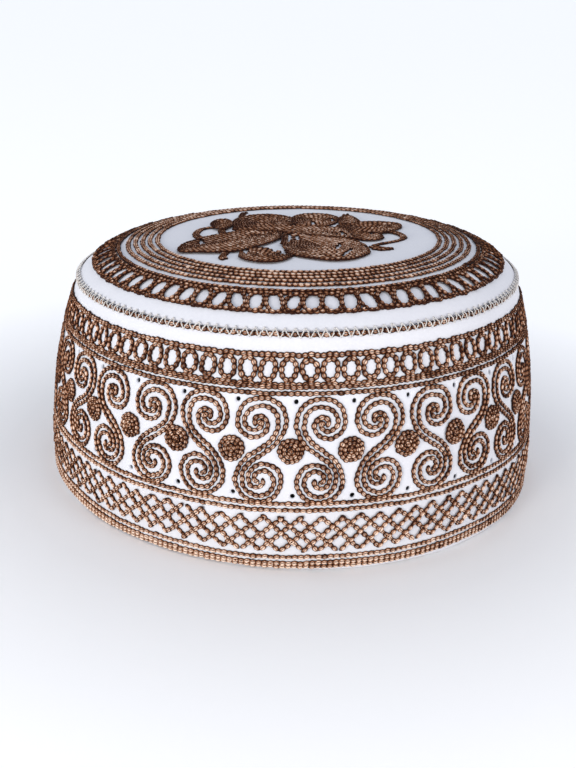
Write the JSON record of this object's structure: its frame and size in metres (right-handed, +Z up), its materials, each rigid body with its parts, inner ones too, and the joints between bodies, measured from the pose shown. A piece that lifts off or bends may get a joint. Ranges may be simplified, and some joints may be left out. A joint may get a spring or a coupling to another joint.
{
  "type": "embroidered prayer cap",
  "caption": "Soft brimless round prayer cap with a tall side band, a low domed crown and pierced eyelets, open below for the head.",
  "frame": {"origin": "centre of the rim, in the plane that the cap rests on", "axes": "+Z up through the crown, -Y out of the front of the cap, +X to the viewer's right"},
  "size_m": [0.1848, 0.1848, 0.0893],
  "materials": {
    "crown_cotton": "fine white cotton with brown chain stitch",
    "band_cotton": "fine white cotton with brown chain stitch",
    "brown_thread": "soft sheen of stranded thread",
    "white_thread": "soft sheen of stranded thread"
  },
  "bodies": {
    "root": {"crown": "crown_cotton", "side_band": "band_cotton", "crown_seam": "brown_thread"}
  },
  "joints": []
}
